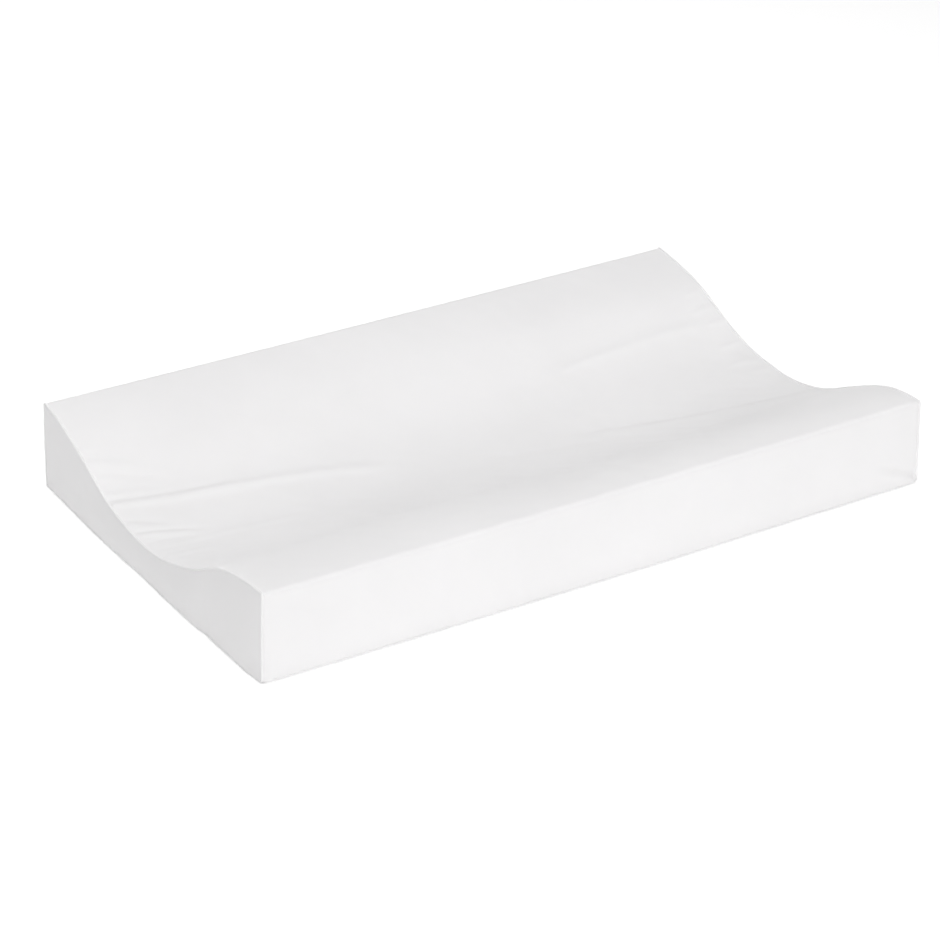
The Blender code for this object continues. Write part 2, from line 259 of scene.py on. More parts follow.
END_CREASES = (        # as (y, z) on an end panel
    ((-0.128, 0.0040), (-0.112, 0.0330), 0.003, 0.0050, 0.0012, "valley"),
    ((-0.098, 0.0040), (-0.092, 0.0260), -0.002, 0.0050, 0.0007, "ridge"),
    ((0.150, 0.0060), (0.130, 0.0400), 0.004, 0.0080, 0.0006, "valley"),
    ((-0.214, 0.0120), (-0.190, 0.0300), 0.002, 0.0050, 0.0005, "valley"),
)


def crease_height(creases, a, b):
    """Sum of the creases at the panel's own coordinates a and b."""
    total = np.zeros_like(a)
    for start, end, bend, width, height, shape in creases:
        run = np.array(end) - np.array(start)
        length = np.hypot(*run)
        run = run / length
        along = ((a - start[0]) * run[0] + (b - start[1]) * run[1]) / length
        across = (b - start[1]) * run[0] - (a - start[0]) * run[1]
        across = across - bend * np.sin(math.pi * np.clip(along, 0.0, 1.0))
        in_end = 0.02 if abs(start[0]) > 0.35 else 0.25
        out_end = 0.02 if abs(end[0]) > 0.35 else 0.35
        fade = smooth(-in_end, in_end, along) * smooth(1 + out_end * 0.4, 1 - out_end, along)
        width_here = width * (0.75 + 0.5 * np.clip(along, 0.0, 1.0))
        if shape == "step":
            total += -height * np.tanh(across / width_here) * bell(across, 0, 4 * width) * fade
        else:
            sign = 1.0 if shape == "ridge" else -1.0
            total += sign * height * bell(across, 0.0, width_here) * fade
    return total


def pucker(along, from_seam, seed):
    """Small uneven gathers that the stitching draws into cloth beside a seam."""
    wave = np.sin(along * 410 + 2.0 * np.sin(along * 63 + seed) + seed)
    wave = wave + 0.6 * np.sin(along * 677 + 3.0 * np.sin(along * 41 + 2 * seed))
    strength = 0.55 + 0.45 * np.sin(along * 29 + 3 * seed)
    return 0.00013 * wave * strength * np.exp(-from_seam / 0.007)


def seam_dip(from_seam):
    """Cloth turns down into a seam beside the piping."""
    past_cord = np.maximum(from_seam - 0.0009, 0.0)
    return 0.00055 * bell(past_cord, 0.0, 0.0010) + 0.0002 * bell(past_cord, 0.0, 0.0050)


def wrap_dip(x, from_seam):
    """The same on the wrap, which the left seam draws in deeper and wider."""
    past_cord = np.maximum(from_seam - 0.0012, 0.0)
    left = 0.00085 * bell(past_cord, 0.0, 0.0013) + 0.0002 * bell(past_cord, 0.0, 0.0050)
    return np.where(x < 0, left, seam_dip(from_seam))


def foot_dip(from_foot):
    """The wall's lower edge turns in over the cord at the foot."""
    return 0.00045 * bell(from_foot, 0.0, 0.0009)


def hem_dip(from_hem):
    """A hem beside the zip: its edge turns in, and the stitches press a line into it."""
    return 0.00035 * bell(from_hem, 0.0, 0.0005) + 0.00022 * bell(from_hem, STITCH_IN, 0.0007)


# ------------ grids

def graded(low, high, step, fine_low=True, fine_high=True):
    """Places from low to high, closer together beside a seam."""
    length = high - low
    start = list(NEAR_SEAM) if fine_low else [0.0]
    stop = [length - d for d in reversed(NEAR_SEAM)] if fine_high else [length]
    count = max(2, round((stop[0] - start[-1]) / step))
    middle = np.linspace(start[-1], stop[0], count + 1)[1:-1]
    return low + np.array(start + list(middle) + stop)


def wrap_rows(step):
    """Row parameters of the wrap: (segment, place in it from 0 to 1)."""
    wall_top = RIM - FOLD_RADIUS
    front = graded(0.0, 1.0, step / wall_top, fine_low=False, fine_high=False)
    low_front = [d / wall_top for d in NEAR_SEAM]
    front = np.concatenate([low_front, front[front > low_front[-1] + 0.03]])
    folds = np.linspace(0.0, 1.0, 9)[1:]
    top = np.linspace(0.0, 1.0, round(2 * WALL_Y / step) + 1)[1:]
    rear = graded(0.0, RIM - HEM_BOTTOM, step, fine_low=False)[1:] / (RIM - HEM_BOTTOM)
    rows = [("front", t) for t in front] + [("front_fold", t) for t in folds]
    rows += [("top", t) for t in top] + [("rear_fold", t) for t in folds]
    return rows + [("rear", t) for t in rear]


def wrap_grid(xs, rows):
    """Positions (row, column, 3) of the wrap's outer side, with creases and seams."""
    bottom = FOOT_EDGE
    grid = np.zeros((len(rows), len(xs), 3))
    from_end = np.maximum(END_X - TUCK - np.abs(xs), 0.0)
    for i, (segment, t) in enumerate(rows):
        if segment == "front":
            top_z = fold(xs, 0.0, -1)[1]
            z = bottom + (top_z - bottom) * t
            push = crease_height(FRONT_CREASES, xs, z)
            push = push + pucker(z, from_end, 1.3) + pucker(xs, z - bottom, 2.1)
            push = push - wrap_dip(xs, from_end) - foot_dip(z - bottom)
            y = -(WALL_Y + front_bow(xs, z) + push)
        elif segment == "rear":
            top_z = fold(xs, 0.0, 1)[1]
            z = top_z + (HEM_BOTTOM - top_z) * t
            push = pucker(z, from_end, 4.2) - seam_dip(from_end) - hem_dip(z - HEM_BOTTOM)
            push = push + 0.6 * pucker(xs, z - HEM_BOTTOM, 3.3)
            y = WALL_Y + rear_bow(xs, z) + push
        elif segment == "front_fold":
            y, z = fold(xs, t, -1)
            y = y - front_bow(xs, z) * (1 - t)
            z = z - seam_dip(from_end) * FOLD_DIP
            y = y + seam_dip(from_end) * FOLD_DIP
        elif segment == "rear_fold":
            y, z = fold(xs, 1 - t, 1)
            y = y + rear_bow(xs, z) * t
            z = z - seam_dip(from_end) * FOLD_DIP
            y = y - seam_dip(from_end) * FOLD_DIP
        else:
            y = (WALL_Y - fold_radius(xs)) * (2 * t - 1)
            z = crown(xs, y)
            rims = 1 - bell(np.abs(y), WALL_Y, 0.012)
            push = crease_height(TOP_CREASES, xs, y) * rims + pucker(y, from_end, 0.4)
            z = z + push - wrap_dip(xs, from_end)
        grid[i] = np.stack([spread_out(xs, y, z), y, z], axis=1)
    return grid


def base_grid(xs):
    """The underside, turned up the rear wall to its hem below the zip."""
    front = -(WALL_Y - TUCK)
    flat = graded(front, WALL_Y - BASE_FOLD_RADIUS, GRID, fine_high=False)
    rows = [("flat", y) for y in flat]
    rows += [("fold", t) for t in np.linspace(0.0, 1.0, 7)[1:]]
    strip = graded(BASE_FOLD_RADIUS, STRIP_TOP, GRID_ACROSS, fine_low=False)
    rows += [("strip", z) for z in strip[1:]]
    grid = np.zeros((len(rows), len(xs), 3))
    from_end = np.maximum(END_X - TUCK - np.abs(xs), 0.0)
    lift = 0.0011 * bell(from_end, 0.0, 0.0035)
    for i, (segment, t) in enumerate(rows):
        if segment == "flat":
            near_front = smooth(0.06, -WALL_Y, t)
            y = np.full_like(xs, t) - front_bow(xs, 0.0) * near_front
            z = np.maximum(lift, 0.0011 * bell(t - front, 0.0, 0.0035))
        elif segment == "fold":
            angle = math.pi / 2 * t
            y = np.full_like(xs, WALL_Y - BASE_FOLD_RADIUS * (1 - math.sin(angle)))
            z = BASE_FOLD_RADIUS * (1 - math.cos(angle)) + lift * (1 - t)
        else:
            y = WALL_Y - seam_dip(from_end) - hem_dip(STRIP_TOP - t)
            y = y + 0.6 * pucker(xs, STRIP_TOP - t, 6.1)
            z = np.full_like(xs, t)
        grid[i] = np.stack([spread_out(xs, y, z), y, z], axis=1)
    return grid


def end_grid(side):
    """An end panel: rows from its foot to the trough's edge, columns from front to rear."""
    bottom = FOOT_EDGE
    ys = graded(-(WALL_Y - TUCK), WALL_Y - TUCK, GRID)
    shares = np.linspace(0.0, 1.0, 26)
    top = crown(side * END_X, ys) - TUCK
    corner = np.maximum(np.abs(ys) - (WALL_Y - FOLD_RADIUS_AT_SEAM), 0.0)
    top = top - (FOLD_RADIUS_AT_SEAM - np.sqrt(FOLD_RADIUS_AT_SEAM ** 2 - corner ** 2))
    height = top - bottom
    fine = NEAR_SEAM[:4]
    rows = [np.full_like(height, depth) for depth in fine]
    rows += [fine[-1] + (height - 2 * fine[-1]) * share for share in shares[1:-1]]
    rows += [height - depth for depth in reversed(fine)]
    grid = np.zeros((len(rows), len(ys), 3))
    for i, from_foot in enumerate(rows):
        z = bottom + from_foot
        from_top = height - from_foot
        from_sides = WALL_Y - TUCK - np.abs(ys)
        out = end_bow(side, ys, z) + crease_height(END_CREASES, ys, z)
        pillow = np.minimum(from_foot / 0.02, 1) * np.minimum(from_top / 0.02, 1)
        dip = np.maximum(seam_dip(from_sides), 0.4 * seam_dip(from_top))
        out = out + 0.0010 * pillow * smooth(0.0, 0.03, from_sides) - dip
        out = out - foot_dip(from_foot)
        out = out + pucker(ys, from_top, 5.0 + side) + pucker(ys, from_foot, 7.0 + side)
        flare_y = front_bow(side * END_X, z) * smooth(-0.10, -WALL_Y, ys)
        flare_y = flare_y - rear_bow(side * END_X, z) * smooth(0.10, WALL_Y, ys)
        grid[i] = np.stack([side * (END_X + out), ys - flare_y, z], axis=1)
    return grid


def linked(name, data):
    """A new object in the scene, with this mesh, light or camera."""
    obj = bpy.data.objects.new(name, data)
    bpy.context.collection.objects.link(obj)
    return obj


def mesh_of(bm, name):
    """The mesh of bm, its faces turned outwards. bm is used up."""
    bmesh.ops.recalc_face_normals(bm, faces=bm.faces)
    mesh = bpy.data.meshes.new(name)
    bm.to_mesh(mesh)
    bm.free()
    return mesh


def join_rings(bm, first, second):
    """Adds the faces between two rings of vertices."""
    count = len(first)
    for k in range(count):
        n = (k + 1) % count
        bm.faces.new((first[k], first[n], second[n], second[k]))


def lofted(name, rings):
    """A closed, smooth solid through rings of points."""
    bm = bmesh.new()
    loops = [[bm.verts.new(point) for point in ring] for ring in rings]
    for first, second in zip(loops, loops[1:]):
        join_rings(bm, first, second)
    bm.faces.new(loops[0])
    bm.faces.new(loops[-1])
    mesh = mesh_of(bm, name)
    mesh.shade_smooth()
    return linked(name, mesh)


def grid_object(name, grid, flip=False):
    """A mesh of quads from a grid of points (row, column, 3)."""
    rows, columns = grid.shape[:2]
    mesh = bpy.data.meshes.new(name)
    index = np.arange(rows * columns).reshape(rows, columns)
    quads = np.stack([index[:-1, :-1], index[:-1, 1:], index[1:, 1:], index[1:, :-1]], axis=-1)
    quads = quads.reshape(-1, 4)
    if flip:
        quads = quads[:, ::-1]
    mesh.from_pydata(grid.reshape(-1, 3).tolist(), [], quads.tolist())
    mesh.shade_smooth()
    return linked(name, mesh)


# ------------ cloth simulation

CAGE_SKIP = 3               # the simulated cloth has every third row and column
FOAM_PRESSURE = 4.0         # the foam presses the cover outwards
CLOTH_GROWTH = 0.003        # the cover is cut this share larger than the foam
FOAM_HOLD = 0.35            # how firmly the cloth lies on the foam, away from seams
FOLD_HOLD = 0.9             # and along its folds
MOVE_MAX = 0.0012           # no point of the cloth moves further than this
SEAM_FADE = 0.022           # and it moves less within this distance of a seam
LAST_FRAME = 20


def thinned(count):
    """Every CAGE_SKIPth index below count, with the first and the last."""
    return np.unique(np.append(np.arange(0, count - 1, CAGE_SKIP), count - 1))


def spread_over(values, places, count):
    """Values known at some indices of the first axis, spread smoothly over all of them."""
    flat = values.reshape(len(places), -1)
    result = np.stack([np.interp(np.arange(count), places, column) for column in flat.T], axis=1)
    for _ in range(CAGE_SKIP):
        result[1:-1] = (result[:-2] + 2 * result[1:-1] + result[2:]) / 4
    return result.reshape(count, *values.shape[1:])


def seam_fade(grid):
    """0 along a grid's edges and 1 further in, for each row."""
    line = grid.mean(axis=1)
    gone = np.append(0.0, np.cumsum(np.linalg.norm(np.diff(line, axis=0), axis=1)))
    return smooth(0.0, SEAM_FADE, np.minimum(gone, gone[-1] - gone))


def settled(grid, hold, flip=False):
    """The grid once its cloth has settled on the foam. hold is each row's own hold."""
    places = thinned(grid.shape[0]), thinned(grid.shape[1])
    coarse = grid[np.ix_(*places)]
    cage = grid_object("cage", coarse, flip)
    weights = np.repeat(hold[places[0]][:, None], coarse.shape[1], axis=1)
    weights[[0, -1], :] = 1.0
    weights[:, [0, -1]] = 1.0
    held = cage.vertex_groups.new(name="held")
    for index, weight in enumerate(weights.ravel()):
        held.add([index], float(weight), "REPLACE")
    cloth = cage.modifiers.new("cloth", "CLOTH")
    cloth.point_cache.frame_start = 1
    cloth.point_cache.frame_end = LAST_FRAME
    cloth.collision_settings.use_collision = False
    settings = cloth.settings
    settings.vertex_group_mass = held.name
    settings.quality = 6
    settings.tension_stiffness = 25.0
    settings.compression_stiffness = 12.0
    settings.shear_stiffness = 6.0
    settings.bending_stiffness = 0.6
    settings.shrink_min = -CLOTH_GROWTH
    settings.use_pressure = True
    settings.uniform_pressure_force = FOAM_PRESSURE
    settings.effector_weights.gravity = 0.0
    scene = bpy.context.scene
    for number in range(1, LAST_FRAME + 1):
        scene.frame_set(number)
    shown = cage.evaluated_get(bpy.context.evaluated_depsgraph_get())
    after = np.empty(coarse.size)
    shown.data.vertices.foreach_get("co", after)
    bpy.data.objects.remove(cage)
    scene.frame_set(1)
    moved = after.reshape(coarse.shape) - coarse
    length = np.linalg.norm(moved, axis=2, keepdims=True)
    moved = moved * MOVE_MAX * np.tanh(length / MOVE_MAX) / np.maximum(length, 1e-9)
    moved = spread_over(moved, places[0], grid.shape[0])
    moved = spread_over(moved.swapaxes(0, 1), places[1], grid.shape[1]).swapaxes(0, 1)
    fade = seam_fade(grid)[:, None] * seam_fade(grid.swapaxes(0, 1))[None, :]
    return grid + moved * fade[:, :, None]


def flat_size(grid):
    """A panel's flat width and length before sewing: its longest row and column."""
    lines = (grid, grid.swapaxes(0, 1))
    return [float(np.linalg.norm(np.diff(g, axis=1), axis=2).sum(axis=1).max()) for g in lines]


def add_thickness(obj, thickness):
    """Gives cloth its thickness on the inner side."""
    solid = obj.modifiers.new("thickness", "SOLIDIFY")
    solid.thickness = thickness
    solid.offset = -1


# ------------ piping

PIPING_SIDES = 12
PIPING_WOBBLE = 0.05        # how much the cord's radius varies along it


def welt_path(side):
    """Centre line of the piping around an end panel, from the front foot to the rear."""
    low = FOOT_WELT_Z + WELT_RADIUS * 1.1
    x = side * END_X
    sink = WELT_SINK[side]
    reach = WALL_Y - FOLD_RADIUS_AT_SEAM

    def on_fold(wall, t):
        y, z = [float(value[0]) for value in fold(np.array([x]), t, wall)]
        bow = front_bow if wall < 0 else rear_bow
        return y + wall * (float(bow(x, z)) - sink) * (1 - t), z - sink * t

    def on_wall(wall, share):
        top = float(fold(np.array([x]), 0.0, wall)[1][0])
        z = low + (top - low) * share
        bow = front_bow if wall < 0 else rear_bow
        return wall * (WALL_Y + float(bow(x, z)) - sink), z

    places = [on_wall(-1, share) for share in np.linspace(0.0, 1.0, 24)]
    places += [on_fold(-1, t) for t in np.linspace(0.0, 1.0, 7)[1:]]
    places += [(y, float(crown(x, y)) - sink) for y in np.linspace(-reach, reach, 150)[1:-1]]
    places += [on_fold(1, t) for t in np.linspace(1.0, 0.0, 7)]
    places += [on_wall(1, share) for share in np.linspace(1.0, 0.0, 24)[1:]]
    return [(x + side * (float(end_bow(side, y, z)) - sink), y, z) for y, z in places]


def foot_path():
    """Centre line of the piping along the foot: left end, front, right end."""
    z = FOOT_WELT_Z
    corner = 0.0016             # how far a run stops short of the corner

    def at_end(side, y):
        return side * (END_X + float(end_bow(side, y, z)) - FOOT_SINK), y, z

    points = [at_end(-1, y) for y in np.linspace(WALL_Y, -WALL_Y + corner, 120)]
    for x in np.linspace(-END_X + corner, END_X - corner, 170):
        points.append((x, -(WALL_Y + float(front_bow(x, z)) - FOOT_SINK), z))
    return points + [at_end(1, y) for y in np.linspace(-WALL_Y + corner, WALL_Y, 120)]


def tube_object(name, path, radius, sides, wobble=0.0):
    """A closed tube along a path of points, with flat ends and a slightly uneven radius."""
    path = np.array(path)
    ahead = np.gradient(path, axis=0)
    ahead /= np.linalg.norm(ahead, axis=1)[:, None]
    normal = np.cross(ahead[0], (0.0, 0.0, 1.0))
    if np.linalg.norm(normal) < 0.1:
        normal = np.cross(ahead[0], (0.0, 1.0, 0.0))
    angles = np.linspace(0, 2 * math.pi, sides, endpoint=False)[:, None]
    rings = []
    along = 0.0
    for i, (point, run) in enumerate(zip(path, ahead)):
        normal = normal - run * (normal @ run)
        normal = normal / np.linalg.norm(normal)
        across = np.cross(run, normal)
        if i:
            along += np.linalg.norm(path[i] - path[i - 1])
        size = radius * (1 + wobble * math.sin(along * 290 + 2 * math.sin(along * 47)))
        rings.append(point + size * (np.cos(angles) * normal + np.sin(angles) * across))
    return lofted(name, rings)


def piping(name, path):
    return tube_object(name, path, WELT_SHOWN, PIPING_SIDES, PIPING_WOBBLE)


# ------------ materials

def noise(nodes, links, place, scale, detail):
    """A noise from 0 to 1."""
    node = nodes.new("ShaderNodeTexNoise")
    node.inputs["Scale"].default_value = scale
    node.inputs["Detail"].default_value = detail
    links.new(place, node.inputs["Vector"])
    return node.outputs["Fac"]


def mottled(nodes, links, value, color, mottle, start):
    """The colour, darker by the share mottle where value is low and lighter where high."""
    ramp = nodes.new("ShaderNodeValToRGB")
    dark, pale = ramp.color_ramp.elements
    dark.color = (*[c * (1 - mottle) for c in color], 1.0)
    dark.position = start
    pale.color = (*[min(1.0, c * (1 + mottle)) for c in color], 1.0)
    pale.position = 1 - start
    links.new(value, ramp.inputs["Fac"])
    return ramp.outputs["Color"]


def cloth_material(name, color, roughness, weave_height):
    """Coated woven cloth: a fine plain weave under a satin skin, slightly uneven in tone."""
    mottle = 0.012
    mat = bpy.data.materials.new(name)
    mat.use_nodes = True
    nodes, links = mat.node_tree.nodes, mat.node_tree.links
    shader = nodes["Principled BSDF"]
    shader.inputs["Roughness"].default_value = roughness
    shader.inputs["Specular IOR Level"].default_value = 0.35
    place = nodes.new("ShaderNodeTexCoord").outputs["Object"]
    tone = noise(nodes, links, place, scale=9.0, detail=4.0)
    links.new(mottled(nodes, links, tone, color, mottle, 0.35), shader.inputs["Base Color"])

    weave = weave_value(nodes, links, place, pitch=0.00055)
    grain = noise(nodes, links, place, scale=900.0, detail=2.0)
    both = nodes.new("ShaderNodeMath")
    both.operation = "MULTIPLY_ADD"
    links.new(grain, both.inputs[0])
    both.inputs[1].default_value = 0.6
    links.new(weave, both.inputs[2])
    bump = nodes.new("ShaderNodeBump")
    bump.inputs["Strength"].default_value = 1.0
    bump.inputs["Distance"].default_value = weave_height
    links.new(both.outputs[0], bump.inputs["Height"])
    links.new(bump.outputs["Normal"], shader.inputs["Normal"])
    return mat


def weave_value(nodes, links, place, pitch):
    """A plain weave from 0 to 1 that faces whichever way the surface faces."""
    split = nodes.new("ShaderNodeSeparateXYZ")
    links.new(place, split.inputs[0])
    normal = nodes.new("ShaderNodeNewGeometry").outputs["Normal"]
    facing = nodes.new("ShaderNodeSeparateXYZ")
    links.new(normal, facing.inputs[0])

    def math_node(operation, *values):
        node = nodes.new("ShaderNodeMath")
        node.operation = operation
        for socket, value in zip(node.inputs, values):
            if isinstance(value, (int, float)):
                socket.default_value = value
            else:
                links.new(value, socket)
        return node.outputs[0]

    waves = [math_node("SINE", math_node("MULTIPLY", split.outputs[k], math.pi / pitch))
             for k in range(3)]
    total = None
    for k in range(3):
        others = [waves[j] for j in range(3) if j != k]
        pattern = math_node("MULTIPLY", *others)
        weight = math_node("POWER", math_node("ABSOLUTE", facing.outputs[k]), 4.0)
        part = math_node("MULTIPLY", pattern, weight)
        total = part if total is None else math_node("ADD", total, part)
    return math_node("MULTIPLY_ADD", total, 0.5, 0.5)


def plain_material(name, color, roughness, metallic=0.0):
    """A material of one colour."""
    mat = bpy.data.materials.new(name)
    mat.use_nodes = True
    shader = mat.node_tree.nodes["Principled BSDF"]
    shader.inputs["Base Color"].default_value = (*color, 1.0)
    shader.inputs["Roughness"].default_value = roughness
    shader.inputs["Metallic"].default_value = metallic
    return mat


def grained_material(name, color, roughness, scale, height, mottle, metallic=0.0):
    """A solid material with an uneven tone, gloss and grain."""
    mat = plain_material(name, color, roughness, metallic)
    nodes, links = mat.node_tree.nodes, mat.node_tree.links
    shader = nodes["Principled BSDF"]
    place = nodes.new("ShaderNodeTexCoord").outputs["Object"]
    grain = noise(nodes, links, place, scale, detail=5.0)
    links.new(mottled(nodes, links, grain, color, mottle, 0.3), shader.inputs["Base Color"])
    gloss = nodes.new("ShaderNodeMapRange")
    gloss.inputs["To Min"].default_value = roughness * 0.8
    gloss.inputs["To Max"].default_value = min(1.0, roughness * 1.2)
    links.new(grain, gloss.inputs["Value"])
    links.new(gloss.outputs["Result"], shader.inputs["Roughness"])
    bump = nodes.new("ShaderNodeBump")
    bump.inputs["Distance"].default_value = height
    links.new(grain, bump.inputs["Height"])
    links.new(bump.outputs["Normal"], shader.inputs["Normal"])
    return mat


MATERIALS = {
    "coated": cloth_material("coated_cloth", (0.865, 0.857, 0.861), 0.50, 0.00003),
    "piping": cloth_material("piping_cloth", (0.875, 0.868, 0.872), 0.48, 0.00003),
    "base": cloth_material("base_cloth", (0.845, 0.838, 0.842), 0.60, 0.00005),
    "foam": grained_material("foam", (0.80, 0.74, 0.58), 0.92, 700.0, 0.0006, 0.12),
    "tape": cloth_material("zip_tape", (0.86, 0.86, 0.86), 0.75, 0.00006),
    "coil": grained_material("zip_coil", (0.86, 0.86, 0.85), 0.35, 1500.0, 0.00002, 0.03),
    "thread": grained_material("thread", (0.87, 0.87, 0.87), 0.60, 4000.0, 0.00008, 0.06),
    "metal": grained_material("zip_metal", (0.60, 0.59, 0.57), 0.27, 2500.0, 0.00001, 0.02, 1.0),
}


def dress(obj, material, body, slot, *nodes):
    """Material, body and the CAD nodes that a piece stands for. The record slot is not used."""
    obj.data.materials.clear()
    obj.data.materials.append(material)
    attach(obj, body)
    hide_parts(*nodes)


# ------------ cover

def make_panel(name, grid, material, slot, node, flip=False, area=None):
    """A cloth panel with its thickness."""
    panel = grid_object(name, grid, flip)
    add_thickness(panel, FABRIC)
    dress(panel, MATERIALS[material], "pad", slot, node)
    flat_size(grid)


def make_cover():
    xs = graded(-(END_X - TUCK), END_X - TUCK, GRID)
    rows = wrap_rows(GRID_ACROSS)
    wrap_hold = np.array([FOLD_HOLD if "fold" in segment else FOAM_HOLD for segment, _ in rows])
    wrap = settled(wrap_grid(xs, rows), wrap_hold)
    make_panel("wrap_panel", wrap, "coated", "coated_fabric", "cover_wrap")
    make_panel("base_panel", base_grid(xs), "base", "base_fabric", "cover_base", flip=True)
    for side, label in ((-1, "left"), (1, "right")):
        end = end_grid(side)
        end = settled(end, np.full(len(end), FOAM_HOLD), flip=side < 0)
        heights = end[-1, :, 2] - end[0, :, 2]
        area = float(np.mean(heights) * flat_size(end)[0])
        make_end = (f"end_panel_{label}", end, "coated", "coated_fabric", f"cover_end_{label}")
        make_panel(*make_end, flip=side < 0, area=area)
        welt = piping(f"piping_{label}", welt_path(side))
        dress(welt, MATERIALS["piping"], "pad", "piping_fabric", f"welt_{label}")
    foot = piping("piping_foot", foot_path())
    dress(foot, MATERIALS["piping"], "pad", "piping_fabric", "welt_base")


# ------------ filling

FOAM_CLEAR = 0.0026         # from the cloth's outer side to this foam
RELIEF_LOW = ZIP_Z - 0.017  # a hollow in the foam behind the zip
RELIEF_HIGH = ZIP_Z + 0.017
RELIEF_Y = WALL_Y - 0.0065
FOAM_CORNER = 0.006         # radius of the foam's upper corners
FOAM_CHAMFER = 0.002        # and the chamfer of its lower ones


def foam_ring(x, shrink):
    """(x, y, z) around the foam at x, with the hollow behind the zip."""
    clear = FOAM_CLEAR + shrink
    rear = WALL_Y - clear
    front = -rear
    ring = [(front + FOAM_CHAMFER, clear), (front, clear + FOAM_CHAMFER)]
    for y in np.linspace(front, rear, 61):
        from_wall = min(y - front, rear - y)
        into_corner = max(FOAM_CORNER - from_wall, 0.0)
        drop = FOAM_CORNER - math.sqrt(max(FOAM_CORNER ** 2 - into_corner ** 2, 0.0))
        ring.append((y, float(crown(x, y)) - clear - drop))
    relief = RELIEF_Y - shrink
    ring += [(rear, RELIEF_HIGH), (relief, RELIEF_HIGH), (relief, RELIEF_LOW), (rear, RELIEF_LOW)]
    ring += [(rear, clear + FOAM_CHAMFER), (rear - FOAM_CHAMFER, clear)]
    return [(x, y, z) for y, z in ring]


def make_foam():
    half = END_X - FOAM_CLEAR
    # Stations: x, and how far the ring shrinks there to round off the ends
    stations = [(half * x, 0.0) for x in np.linspace(-0.99, 0.99, 60)]
    stations = [(-half, 0.0025), (-half + 0.0012, 0.0008)] + stations
    stations += [(half - 0.0012, 0.0008), (half, 0.0025)]
    foam = lofted("foam_block", [foam_ring(x, shrink) for x, shrink in stations])
    dress(foam, MATERIALS["foam"], "pad", "foam", "foam_core")


# ------------ zip

ZIP_GAP = 0.0004            # between the zip and the pieces beside it
COIL_PITCH = 0.0017
COIL_WIRE = 0.00034
STITCH_PITCH = 0.0032
STITCH_LENGTH = 0.0026
SLIDER_WALL = 0.0010
RECESS_DEPTH = 0.00022      # of the pull's two faces


def zip_end(side):
    """x where the zip's tapes and teeth run in behind the piping."""
    return side * (END_X + float(end_bow(side, WALL_Y, ZIP_Z)) - FABRIC - ZIP_GAP)


def make_tape(label, side):
    """A woven tape with a corded edge beside the teeth."""
    low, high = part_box(f"zip_tape_{label}")
    inner = low.z if side > 0 else high.z
    reach = high.z - low.z
    steps = [0.0, 0.0003, 0.0007, 0.0011, 0.0015, 0.003, 0.0045, 0.006, 0.008, 0.010, reach]
    half_thick = (high.y - low.y) / 2
    middle = (low.y + high.y) / 2
    profile = []
    for d in steps:
        bead = 1.0 + 0.25 * math.exp(-((d - 0.0008) / 0.0005) ** 2)
        pinch = 0.55 if d in (0.0, reach) else 1.0
        profile.append((inner + side * d, half_thick * bead * pinch))
    outline = [(middle + t, z) for z, t in profile] + [(middle - t, z) for z, t in profile[::-1]]
    stations = np.linspace(zip_end(-1), zip_end(1), 150)
    rings = [[(x, y, z) for y, z in outline] for x in stations]
    tape = lofted(f"tape_{label}", rings)
    dress(tape, MATERIALS["tape"], "pad", "zip_tape", f"zip_tape_{label}")


def make_coil(label, side):
    """One row of a coil zip: a wound filament whose turns mesh with the other row's."""
    low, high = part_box(f"zip_coil_{label}")
    x_low = zip_end(-1)
    x_high = zip_end(1)
    turns = int((x_high - x_low) / COIL_PITCH)
    deep = (high.y - low.y) / 2 - COIL_WIRE
    middle_y = (low.y + high.y) / 2
    outer = max(abs(low.z - ZIP_Z), abs(high.z - ZIP_Z))
    head = -0.0007              # each row's heads reach past the middle by this much
    reach = (outer - head) / 2 - COIL_WIRE
    middle_z = ZIP_Z + side * (outer + head) / 2
    points = []
    per_turn = 10
    for i in range(turns * per_turn + 1):
        angle = 2 * math.pi * i / per_turn
        share = i / per_turn + (0.5 if side > 0 else 0.0)
        x = x_low + (share - 0.12 * math.sin(2 * angle)) * COIL_PITCH
        swell = 1.0 + 0.10 * math.cos(2 * angle)
        y = middle_y + deep * math.sin(angle)
        z = middle_z - side * reach * math.cos(angle) * swell
        points.append((min(x, x_high), y, z))
    coil = tube_object(f"coil_{label}", points, COIL_WIRE, 5)
    dress(coil, MATERIALS["coil"], "pad", "zip_coil", f"zip_coil_{label}")


def make_stitches(label):
    """A row of single stitches, each lying in the hem with its ends pulled down."""
    low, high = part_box(f"zip_stitch_{label}")
    z = (low.z + high.z) / 2
    radius = (high.z - low.z) / 2
    y = WALL_Y + 0.2 * radius
    bm = bmesh.new()
    first_x = zip_end(-1)
    count = int((zip_end(1) - first_x) / STITCH_PITCH)
    sides = 6
    profile = ((0.0, 0.25, -1.0), (0.10, 0.85, -0.6), (0.3, 1.0, 0.0), (0.7, 1.0, 0.0),
               (0.90, 0.85, -0.6), (1.0, 0.25, -1.0))
    for i in range(count):
        start = first_x + (i + 0.2) * STITCH_PITCH
        lean = 0.00012 * math.sin(i * 1.7)
        rings = []
        for share, size, sink in profile:
            ring = []
            for k in range(sides):
                angle = 2 * math.pi * k / sides
                ring.append(bm.verts.new((
                    start + share * STITCH_LENGTH,
                    y + radius * (size * math.cos(angle) + 0.8 * sink),
                    z + lean * (share - 0.5) * 2 + radius * size * math.sin(angle),
                )))
            rings.append(ring)
        for first, second in zip(rings, rings[1:]):
            join_rings(bm, first, second)
        bm.faces.new(rings[0])
        bm.faces.new(rings[-1][::-1])
    mesh = mesh_of(bm, f"stitches_{label}")
    mesh.shade_smooth()
    stitches = linked(f"stitches_{label}", mesh)
    dress(stitches, MATERIALS["thread"], "pad", "thread", f"zip_stitch_{label}")


